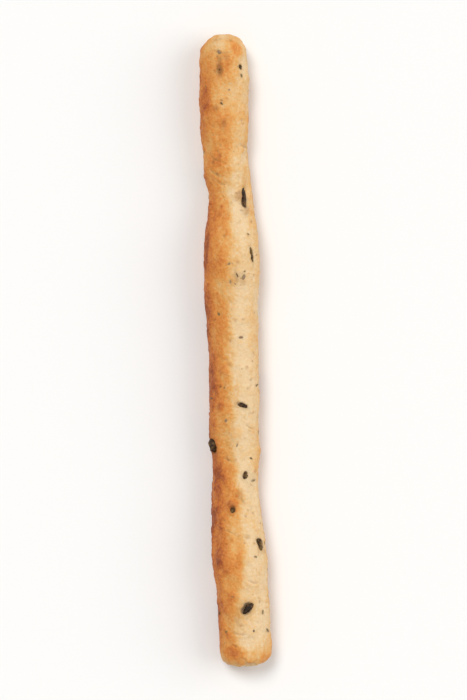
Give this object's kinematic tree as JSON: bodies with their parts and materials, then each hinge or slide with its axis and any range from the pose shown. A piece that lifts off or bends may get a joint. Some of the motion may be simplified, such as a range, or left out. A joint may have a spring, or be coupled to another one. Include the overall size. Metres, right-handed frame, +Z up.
{
  "type": "grissini breadstick",
  "caption": "Hand-rolled crisp breadstick with uneven thickness, rounded ends and a flat baked underside, lying on its side; a snack to pick up and eat.",
  "frame": {"origin": "on the flat underside, under the middle of the stick's bounding box", "axes": "+Y along the stick towards its rounder end, +Z up through the side that the picture shows, +X to that side's right"},
  "size_m": [0.0136, 0.15, 0.0122],
  "materials": {
    "crust": "dry golden baked crust, browned along one side and pale along the other, with a faint sheen of oil",
    "olive": "dark wrinkled skin and flesh of baked black olive, slightly oily",
    "fleck": "matte specks of olive and herb, grey-brown to dull green"
  },
  "bodies": {
    "root": {"breadstick": "crust"}
  },
  "joints": []
}
